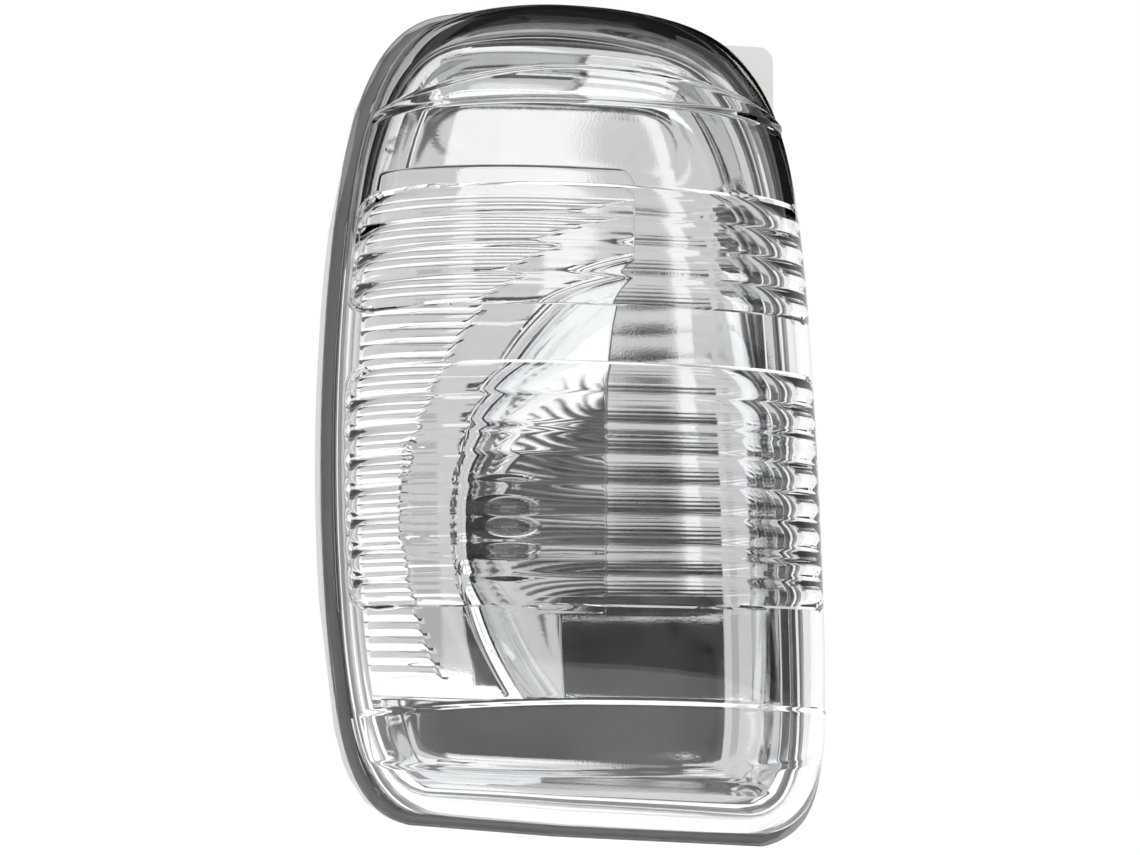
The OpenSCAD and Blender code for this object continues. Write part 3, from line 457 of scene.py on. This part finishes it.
def edgeGap(x, z):
    # how far a point is inside the block's top, right and bottom edges
    d = mirrorDetail
    dx, dz, radius = blockEdge(z) - x, d["blockTop"] - z, d["cornerRadius"]
    if dx < radius and dz < radius:
        return radius - math.hypot(radius - dx, radius - dz)
    return min(dx, dz, z - d["blockBottom"])


def bowlShape(u):
    return (1 - (1 - min(max(u, 0), 1)) ** mirrorDetail["bowlPower"]) ** mirrorDetail["bowlRound"]


def mirrorEnds(z):
    # left edge, right edge and half height of the reflector
    end = lampShape["height"] / 2 - mirrorDetail["inset"]
    t = max(min(z / end, 1), -1)
    return leftEdge(t) + mirrorDetail["inset"], rightEdge(t) - mirrorDetail["inset"], end


def panHeight(x, z):
    d = mirrorDetail
    left, right, end = mirrorEnds(z)
    s = x / (left + d["ledgeWidth"] if x < 0 else right - d["ledgeWidth"])
    t = z / (end - d["ledgeWidth"])
    cap = d["panCap"] if t > 0 else d["panFoot"]
    return -d["ledge"] + d["panDepth"] * max(1 - abs(s) ** d["panSide"], 0) * max(1 - abs(t) ** cap, 0)


def mirrorHeight(x, z):
    d = mirrorDetail
    s, t = mirrorShares(x, z)
    left, right, end = mirrorEnds(z)
    if abs(z) > end - d["ledgeWidth"] or x < left + d["edgeWidth"] or x > right - d["ledgeWidth"]:
        return -d["ledge"]
    pan = panHeight(x, z)
    gap = edgeGap(x, z)
    if gap <= 0:
        return pan
    y = -d["ledge"] - d["blockShare"] * lampShape["bulge"] * swell(max(min(s, 1), -1), max(min(t, 1), -1))
    if gap < d["edgeRound"]:
        y += d["edgeRound"] * (1 - math.sqrt(1 - (1 - gap / d["edgeRound"]) ** 2))
    r = math.hypot(x - d["bowlX"], z - d["bowlZ"])
    band = d["bowlRadius"] + d["bandWidth"]
    if r < d["bowlRadius"]:
        reach = d["bowlRadius"] - (d["bowlX"] - d["blockRight"])
        return min(y + d["bowlDepth"] * bowlShape((d["bowlRadius"] - r) / reach), pan + d["bowlStop"])
    if r < band:
        across = (r - d["bowlRadius"]) / d["bandWidth"]
        return (y + d["bandDip"] * math.sin(math.pi * across)
                - d["lipRise"] * ridge(d["lipPlace"], d["lipWidth"], across))
    ribStart = band + d["stripWidth"]
    if r > ribStart and d["ribBottom"] < z < d["ribTop"]:
        f = (z - d["ribBottom"]) / d["ribPitch"] % 1.0
        run = min((r - ribStart) / d["ribRun"], 1)
        return y - d["ribHeight"] * math.sqrt(max(1 - (2 * f - 1) ** 2, 0)) * math.sqrt(run * (2 - run))
    return y


def arcAt(radius, z):
    d = mirrorDetail
    dz = z - d["bowlZ"]
    return d["bowlX"] - math.sqrt(radius ** 2 - dz ** 2) if abs(dz) < radius else blockEdge(z)


def fill(a, b, count):
    return [a + (b - a) * i / count for i in range(count)]


def mirrorColumns(z):
    # a row's x values, closer together at the bowl's arc and at each edge
    d = mirrorDetail
    x0, x9, _ = mirrorEnds(z)
    w = d["ledgeWidth"]
    left = x0 + d["edgeWidth"]
    e = min(blockEdge(z), x9 - w - 0.8) - 0.1
    r1 = min(max(arcAt(d["bowlRadius"] + d["bandWidth"] + d["stripWidth"], z), left + 3), e - 3.2)
    r2 = min(max(arcAt(d["bowlRadius"] + d["bandWidth"], z), r1 + 0.8), e - 2.2)
    r3 = min(max(arcAt(d["bowlRadius"], z), r2 + 0.4), e - 1.6)
    b = e + 0.3
    return ([x0, left - 0.1] + [left + 0.1 + (r1 - 1 - left) * (i / 18) ** 1.5 for i in range(18)]
            + fill(r1 - 0.9, r1 + 0.1, 5) + fill(r1 + 0.15, r2 - 0.05, 7) + fill(r2 + 0.05, r3 - 0.03, 8)
            + [r3 + (e - 1.3 - r3) * (i / 28) ** 1.5 for i in range(28)] + fill(e - 1.3, e, 6) + [e]
            + [b + (x9 - w - 0.1 - b) * (1 - (1 - i / 34) ** 1.5) for i in range(35)] + [x9 - w + 0.1, x9])


def buildReflector():
    d = mirrorDetail
    end = lampShape["height"] / 2 - d["inset"]
    turn = end - d["ledgeWidth"]
    rows = fill(-end, -turn - 0.1, 2) + fill(-turn + 0.1, d["blockBottom"] - 0.1, 26)
    count = int((d["blockTop"] - d["blockBottom"]) / d["rowStep"])
    rows += fill(d["blockBottom"] + 0.05, d["blockTop"] - 0.05, count)
    rows += [d["blockTop"] - 0.05] + fill(d["blockTop"] + 0.1, turn - 0.1, 34) + [turn - 0.1, turn + 0.1, end]
    front = []
    for z in rows:
        for x in mirrorColumns(z):
            s, _ = mirrorShares(x, z)
            lift = rowHeight(s, z / end) * end / (lampShape["height"] / 2)
            front.append((x, mirrorHeight(x, z), lift))
    cols = len(mirrorColumns(0))
    faces = []
    for r in range(len(rows) - 1):
        for c in range(cols - 1):
            a = r * cols + c
            quad = (a, a + 1, a + cols + 1, a + cols)
            mid = [sum(front[i][k] for i in quad) / 4 for k in (0, 2)]
            if math.hypot(mid[0] - d["bulbX"], mid[1] - d["bulbZ"]) > d["bulbHole"]:
                faces.append(quad)
    mirror = addMesh("reflectorShell", front, faces, d["sharpAngle"])
    mirror.data.materials.append(finishes["metallised"])
    solid = mirror.modifiers.new("wall", "SOLIDIFY")
    solid.thickness = d["wall"] * mm
    solid.offset = -1
    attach(mirror, "root")
    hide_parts("reflector")
    print("reflector made,", len(mirror.data.polygons), "faces")


buildReflector()


# pieces made with geometry nodes: whatever repeats or follows a path
def newTree(name, inputs):
    tree = bpy.data.node_groups.new(name, "GeometryNodeTree")
    tree.is_modifier = True
    tree.interface.new_socket(name="Geometry", in_out="INPUT", socket_type="NodeSocketGeometry")
    for label, kind, value in inputs:
        socket = tree.interface.new_socket(name=label, in_out="INPUT", socket_type=kind)
        socket.default_value = value
    tree.interface.new_socket(name="Geometry", in_out="OUTPUT", socket_type="NodeSocketGeometry")
    return tree, tree.nodes.new("NodeGroupInput"), tree.nodes.new("NodeGroupOutput")


def endTree(tree, geometry, source, result):
    real, dressed = tree.nodes.new("GeometryNodeRealizeInstances"), tree.nodes.new("GeometryNodeSetMaterial")
    tree.links.new(geometry, real.inputs[0])
    tree.links.new(real.outputs[0], dressed.inputs["Geometry"])
    tree.links.new(source.outputs["Material"], dressed.inputs["Material"])
    tree.links.new(dressed.outputs[0], result.inputs[0])


# runs a tree on base points and faces given in millimetres, and keeps the result as a plain mesh
def grow(name, tree, values, points, faces, sharpAngle=40):
    base = addMesh(name, points, faces)
    modifier = base.modifiers.new(name, "NODES")
    modifier.node_group = tree
    for item in tree.interface.items_tree:
        if item.in_out == "INPUT" and item.name in values:
            modifier[item.identifier] = values[item.name]
    view = bpy.context.evaluated_depsgraph_get()
    mesh = bpy.data.meshes.new_from_object(base.evaluated_get(view))
    base.modifiers.remove(modifier)
    base.data = mesh
    mesh.name = name
    mesh.shade_smooth()
    mesh.set_sharp_from_angle(angle=math.radians(sharpAngle))
    print(name, "made,", len(mesh.polygons), "faces")
    return base


def coilTree():
    # a round wire wound into a coil along Z, with an optional straight tail at each end
    tree, source, result = newTree("coil", [
        ("Turns", "NodeSocketFloat", 8.0), ("Radius", "NodeSocketFloat", 0.001),
        ("Length", "NodeSocketFloat", 0.004), ("Wire Radius", "NodeSocketFloat", 0.0001),
        ("Tail", "NodeSocketFloat", 0.0), ("Turn", "NodeSocketVector", (0.0, 0.0, 0.0)),
        ("Material", "NodeSocketMaterial", None)])
    add, link = tree.nodes.new, tree.links.new
    spiral, circle = add("GeometryNodeCurveSpiral"), add("GeometryNodeCurvePrimitiveCircle")
    spiral.inputs["Resolution"].default_value = 28
    circle.inputs["Resolution"].default_value = 8
    link(source.outputs["Turns"], spiral.inputs["Rotations"])
    link(source.outputs["Radius"], spiral.inputs["Start Radius"])
    link(source.outputs["Radius"], spiral.inputs["End Radius"])
    link(source.outputs["Length"], spiral.inputs["Height"])
    link(source.outputs["Wire Radius"], circle.inputs["Radius"])
    both = add("GeometryNodeJoinGeometry")
    link(spiral.outputs["Curve"], both.inputs[0])
    for share, side in ((0.0, -1.0), (1.0, 1.0)):
        start, end = add("ShaderNodeCombineXYZ"), add("ShaderNodeCombineXYZ")
        at, out = add("ShaderNodeMath"), add("ShaderNodeMath")
        at.operation, out.operation = "MULTIPLY", "MULTIPLY_ADD"
        at.inputs[1].default_value = share
        out.inputs[1].default_value = side
        link(source.outputs["Length"], at.inputs[0])
        link(source.outputs["Tail"], out.inputs[0])
        link(at.outputs[0], out.inputs[2])
        link(source.outputs["Radius"], start.inputs["X"])
        link(at.outputs[0], start.inputs["Z"])
        link(out.outputs[0], end.inputs["Z"])
        tail = add("GeometryNodeCurvePrimitiveLine")
        link(start.outputs[0], tail.inputs["Start"])
        link(end.outputs[0], tail.inputs["End"])
        link(tail.outputs[0], both.inputs[0])
    wire, middle, centre, turn = (add("GeometryNodeCurveToMesh"), add("ShaderNodeMath"),
                                  add("ShaderNodeCombineXYZ"), add("GeometryNodeTransform"))
    wire.inputs["Fill Caps"].default_value = True
    middle.operation = "MULTIPLY"
    middle.inputs[1].default_value = -0.5
    link(both.outputs[0], wire.inputs["Curve"])
    link(circle.outputs["Curve"], wire.inputs["Profile Curve"])
    link(source.outputs["Length"], middle.inputs[0])
    link(middle.outputs[0], centre.inputs["Z"])
    shift = add("GeometryNodeTransform")
    link(wire.outputs[0], shift.inputs["Geometry"])
    link(centre.outputs[0], shift.inputs["Translation"])
    link(shift.outputs[0], turn.inputs["Geometry"])
    link(source.outputs["Turn"], turn.inputs["Rotation"])
    copies = add("GeometryNodeInstanceOnPoints")
    link(source.outputs["Geometry"], copies.inputs["Points"])
    link(turn.outputs[0], copies.inputs["Instance"])
    endTree(tree, copies.outputs[0], source, result)
    return tree


def barTree():
    # a row of round bars from each base point
    tree, source, result = newTree("barRow", [
        ("Count", "NodeSocketInt", 6), ("Step", "NodeSocketVector", (0.001, 0.0, 0.0)),
        ("Bar Radius", "NodeSocketFloat", 0.0003), ("Bar Length", "NodeSocketFloat", 0.003),
        ("Material", "NodeSocketMaterial", None)])
    add, link = tree.nodes.new, tree.links.new
    line, bar, turn = (add("GeometryNodeMeshLine"), add("GeometryNodeMeshCylinder"), add("GeometryNodeTransform"))
    bar.inputs["Vertices"].default_value = 16
    turn.inputs["Rotation"].default_value = (math.radians(90), 0, 0)
    link(source.outputs["Count"], line.inputs["Count"])
    link(source.outputs["Step"], line.inputs["Offset"])
    link(source.outputs["Bar Radius"], bar.inputs["Radius"])
    link(source.outputs["Bar Length"], bar.inputs["Depth"])
    link(bar.outputs["Mesh"], turn.inputs["Geometry"])
    rows, bars, flat = (add("GeometryNodeInstanceOnPoints"), add("GeometryNodeInstanceOnPoints"),
                        add("GeometryNodeRealizeInstances"))
    link(source.outputs["Geometry"], rows.inputs["Points"])
    link(line.outputs["Mesh"], rows.inputs["Instance"])
    link(rows.outputs[0], flat.inputs[0])
    link(flat.outputs[0], bars.inputs["Points"])
    link(turn.outputs[0], bars.inputs["Instance"])
    endTree(tree, bars.outputs[0], source, result)
    return tree


def fibreTree():
    # short fibres lying on the base faces
    tree, source, result = newTree("fibres", [
        ("Density", "NodeSocketFloat", 4000000.0), ("Seed", "NodeSocketInt", 7),
        ("Fibre Length", "NodeSocketFloat", 0.0008), ("Fibre Radius", "NodeSocketFloat", 0.00003),
        ("Material", "NodeSocketMaterial", None)])
    add, link = tree.nodes.new, tree.links.new
    scatter, angle, copies = (add("GeometryNodeDistributePointsOnFaces"), add("FunctionNodeRandomValue"),
                              add("GeometryNodeInstanceOnPoints"))
    angle.data_type = "FLOAT_VECTOR"
    angle.inputs["Min"].default_value = (-0.35, -3.1, -0.35)
    angle.inputs["Max"].default_value = (0.35, 3.1, 0.35)
    length, line, circle, hair = (add("ShaderNodeCombineXYZ"), add("GeometryNodeCurvePrimitiveLine"),
                                  add("GeometryNodeCurvePrimitiveCircle"), add("GeometryNodeCurveToMesh"))
    circle.inputs["Resolution"].default_value = 3
    link(source.outputs["Geometry"], scatter.inputs["Mesh"])
    link(source.outputs["Density"], scatter.inputs["Density"])
    link(source.outputs["Seed"], scatter.inputs["Seed"])
    link(source.outputs["Seed"], angle.inputs["Seed"])
    link(source.outputs["Fibre Length"], length.inputs["X"])
    link(length.outputs[0], line.inputs["End"])
    link(source.outputs["Fibre Radius"], circle.inputs["Radius"])
    link(line.outputs[0], hair.inputs["Curve"])
    link(circle.outputs["Curve"], hair.inputs["Profile Curve"])
    link(scatter.outputs["Points"], copies.inputs["Points"])
    link(hair.outputs[0], copies.inputs["Instance"])
    link(angle.outputs["Value"], copies.inputs["Rotation"])
    endTree(tree, copies.outputs[0], source, result)
    return tree


# sizes of the small pieces, in millimetres from the lens flange's back
smallDetail = {
    "filament": {"place": (-8.0, -3.5, -18.5), "turns": 13.0, "radius": 0.45, "length": 2.6, "wire": 0.07,
                 "tail": 0.75},
    "threads": {"places": [(0, 28.45, 45), (0, 28.45, -45)], "turns": 8.0, "radius": 2.02, "length": 6.4,
                "wire": 0.16},
    "gripBars": {"starts": [(-23.2, 30.3, -17.0), (-23.2, 30.3, -20.0), (1.4, 30.3, -17.0), (1.4, 30.3, -20.0)],
                 "count": 6, "step": 1.15, "radius": 0.32, "length": 3.6},
    "felt": {"centres": [(-16, 35), (17, -14)], "width": 9.0, "height": 13.0, "y": 26.1,
             "perSquare": 5.0, "seed": 7, "fibre": 0.9, "thick": 0.035},
}


def buildSmallPieces():
    coil, bars, fibres = coilTree(), barTree(), fibreTree()
    d = smallDetail["filament"]
    filament = grow("filamentCoil", coil, {
        "Turns": d["turns"], "Radius": d["radius"] * mm, "Length": d["length"] * mm, "Wire Radius": d["wire"] * mm,
        "Tail": d["tail"] * mm, "Turn": (0.0, math.radians(90), 0.0), "Material": finishes["wireMetal"]},
        [d["place"]], [])
    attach(filament, "root")
    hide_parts("bulb_filament")
    d = smallDetail["threads"]
    threads = grow("insertThreads", coil, {
        "Turns": d["turns"], "Radius": d["radius"] * mm, "Length": d["length"] * mm, "Wire Radius": d["wire"] * mm,
        "Turn": (math.radians(90), 0.0, 0.0), "Material": finishes["insertBrass"]}, d["places"], [])
    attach(threads, "root")
    d = smallDetail["gripBars"]
    grip = grow("gripBars", bars, {
        "Count": d["count"], "Step": (d["step"] * mm, 0.0, 0.0), "Bar Radius": d["radius"] * mm,
        "Bar Length": d["length"] * mm, "Material": finishes["holderPlastic"]}, d["starts"], [])
    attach(grip, "root")
    d = smallDetail["felt"]
    points, faces = [], []
    for x, z in d["centres"]:
        w, h, k = d["width"] / 2, d["height"] / 2, len(points)
        points += [(x - w, d["y"], z - h), (x - w, d["y"], z + h), (x + w, d["y"], z + h), (x + w, d["y"], z - h)]
        faces.append((k, k + 1, k + 2, k + 3))
    felt = grow("feltFibres", fibres, {
        "Density": d["perSquare"] / mm ** 2, "Seed": d["seed"], "Fibre Length": d["fibre"] * mm,
        "Fibre Radius": d["thick"] * mm, "Material": finishes["feltPad"]}, points, faces)
    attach(felt, "root")


buildSmallPieces()

# carried-over CAD nodes
nodeFinish = {
    "reflector": "metallised", "housing": "greyPlastic", "lens_seal": "sealGlue", "bulb_glass": "bulbGlass",
    "bulb_filament": "wireMetal", "left_lead_wire": "wireMetal", "right_lead_wire": "wireMetal",
    "holder_body": "holderPlastic", "holder_seal": "blackRubber", "left_contact": "contactMetal",
    "right_contact": "contactMetal", "reflector_screws": "screwSteel", "fixing_inserts": "insertBrass",
    "screw_washers": "screwSteel", "vent_cap": "holderPlastic", "vent_membrane": "whiteFilm",
    "spring_clip": "springSteel", "upper_felt_pad": "feltPad", "lower_felt_pad": "feltPad",
}


def dressNodes():
    for name, finish in nodeFinish.items():
        piece = nodes[name]
        if not piece.material_slots:
            piece.data.materials.append(finishes[finish])
        for materialSlot in piece.material_slots:
            materialSlot.material = finishes[finish]
    print("nodes dressed,", len(nodeFinish))


dressNodes()

# studio: pale floor and backdrop, soft light, and a light tent that only reflections see
studio = {
    "floorZ": -0.16, "floorSize": 6.0, "pale": 1.0, "worldFill": 0.85, "middle": (0, -0.03, -0.01),
    "keyPlace": (-0.5, -0.7, 0.9), "keySize": 0.8, "keyPower": 9.0,
    # patches of a light tent round the lamp that only metal and glass show: name, azimuths from the
    # lamp's front, elevations, radius, level
    "tent": [
        ("tentGrey", -100, 100, -88, 88, 0.75, 0.7),
        ("ceilingDark", -178, 178, 64, 89, 0.6, 0.04),
        ("softbox", -24, 13.5, 18.5, 62, 0.6, 1.1),
        ("softStrip", 6, 13.5, 3.5, 18.6, 0.6, 1.1),
        ("lowBounce", -30, 2, -62, -15, 0.6, 1.05),
        ("tableDark", 2, 31, -34, -11, 0.59, 0.008),
        ("cameraDark", -14, 14, -14.5, 0, 0.59, 0.012),
        ("leftShade", -40, -26, -11, 1, 0.6, 0.5),
        ("rightGround", 24, 82, -46, -21, 0.6, 0.4),
        ("rightMiddle", 30, 82, -21.1, -11, 0.6, 0.25),
        ("rightDark", 13.6, 82, -11.1, 3.6, 0.6, 0.03),
        ("rightHigh", 15, 66, 3.5, 10.5, 0.6, 0.18),
    ],
    # seen only where the steep sides of the lens turn the view behind or over the lamp
    "behind": [
        ("topDark", 105, 255, 17, 86, 0.7, 0.01),
        ("leftGrey", 184, 208, -40, 40, 0.68, 0.55),
        ("lowDark", 60, 190, -86, -34, 0.7, 0.02),
    ],
}


def seenByCameraOrMirror(tree):
    # 1 for camera, glossy and transmission rays, so metal and glass show the pale background too
    add, link = tree.nodes.new, tree.links.new
    path, either, third = add("ShaderNodeLightPath"), add("ShaderNodeMath"), add("ShaderNodeMath")
    either.operation = third.operation = "MAXIMUM"
    link(path.outputs["Is Camera Ray"], either.inputs[0])
    link(path.outputs["Is Glossy Ray"], either.inputs[1])
    link(either.outputs[0], third.inputs[0])
    link(path.outputs["Is Transmission Ray"], third.inputs[1])
    return third.outputs[0]


def glowMaterial(name, level):
    material = bpy.data.materials.new(name)
    material.use_nodes = True
    tree = material.node_tree
    tree.nodes.clear()
    glow, out = tree.nodes.new("ShaderNodeEmission"), tree.nodes.new("ShaderNodeOutputMaterial")
    glow.inputs["Color"].default_value = (level, level, level, 1)
    tree.links.new(glow.outputs[0], out.inputs["Surface"])
    return material


def floorMaterial():
    material = bpy.data.materials.new("paleFloor")
    material.use_nodes = True
    tree = material.node_tree
    shader = tree.nodes["Principled BSDF"]
    shader.inputs["Base Color"].default_value = (0.8, 0.8, 0.8, 1)
    shader.inputs["Roughness"].default_value = 0.9
    shader.inputs["Emission Color"].default_value = (0.3, 0.3, 0.3, 1)
    tree.links.new(seenByCameraOrMirror(tree), shader.inputs["Emission Strength"])
    return material


def addStage(name, points, faces, material):
    mesh = bpy.data.meshes.new(name)
    mesh.from_pydata(points, [], faces)
    mesh.materials.append(material)
    piece = bpy.data.objects.new(name, mesh)
    bpy.context.scene.collection.objects.link(piece)
    return piece


def addPatch(name, left, right, low, high, radius, level):
    bars, bands = max(int((right - left) / 5), 2), max(int((high - low) / 5), 2)
    points, faces = [], []
    for r in range(bands + 1):
        e = math.radians(low + (high - low) * r / bands)
        for c in range(bars + 1):
            a = math.radians(left + (right - left) * c / bars)
            points.append(Vector(studio["middle"]) + radius * Vector(
                (math.sin(a) * math.cos(e), -math.cos(a) * math.cos(e), math.sin(e))))
    for r in range(bands):
        for c in range(bars):
            k = r * (bars + 1) + c
            faces.append((k, k + 1, k + bars + 2, k + bars + 1))
    patch = addStage(name, points, faces, glowMaterial(name, level))
    patch.visible_camera = patch.visible_diffuse = patch.visible_shadow = False


def buildStudio():
    for patch in studio["tent"] + studio["behind"]:
        addPatch(*patch)
    w, z = studio["floorSize"] / 2, studio["floorZ"]
    addStage("studioFloor", [(-w, -w, z), (w, -w, z), (w, w, z), (-w, w, z)], [(0, 1, 2, 3)], floorMaterial())
    world = bpy.data.worlds.new("studioWorld")
    bpy.context.scene.world = world
    world.use_nodes = True
    tree = world.node_tree
    back, level = tree.nodes["Background"], tree.nodes.new("ShaderNodeMapRange")
    level.inputs["To Min"].default_value = studio["worldFill"]
    level.inputs["To Max"].default_value = studio["pale"]
    back.inputs["Color"].default_value = (1, 1, 1, 1)
    tree.links.new(seenByCameraOrMirror(tree), level.inputs["Value"])
    tree.links.new(level.outputs["Result"], back.inputs["Strength"])
    data = bpy.data.lights.new("keyLight", "AREA")
    data.size = studio["keySize"]
    data.energy = studio["keyPower"]
    key = bpy.data.objects.new("keyLight", data)
    bpy.context.scene.collection.objects.link(key)
    key.location = studio["keyPlace"]
    key.rotation_euler = (math.radians(50), 0, math.radians(-35))
    print("studio set")


buildStudio()
